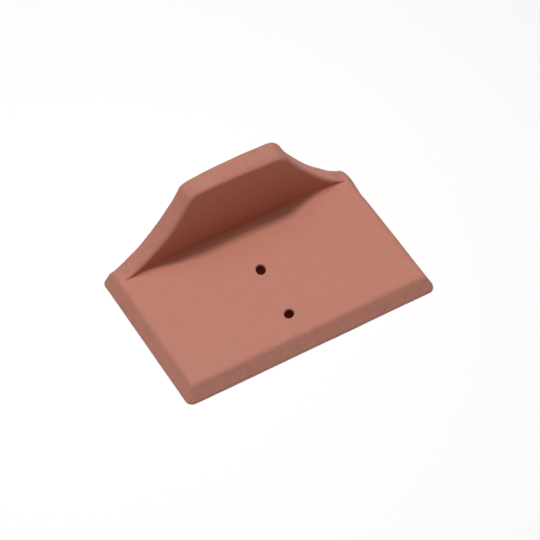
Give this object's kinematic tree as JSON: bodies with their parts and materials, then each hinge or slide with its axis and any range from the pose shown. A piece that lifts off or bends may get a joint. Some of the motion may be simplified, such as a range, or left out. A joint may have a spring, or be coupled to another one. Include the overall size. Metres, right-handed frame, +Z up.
{
  "type": "ridge closure tile",
  "caption": "Terracotta ridge closure tile: a flat nailing plate with an upstand along its back edge, whose flat toe and swept flanks fill the channel below a roof ridge.",
  "frame": {"origin": "on the ground under the middle of the tile's box", "axes": "+X along the tile, +Y from the plate's free edge to the back of the upstand, +Z up"},
  "size_m": [0.21, 0.131, 0.0856],
  "materials": {
    "terracotta": "matt unglazed fired clay, orange pink"
  },
  "bodies": {
    "root": {"ridge_closure_tile": "terracotta"}
  },
  "joints": []
}
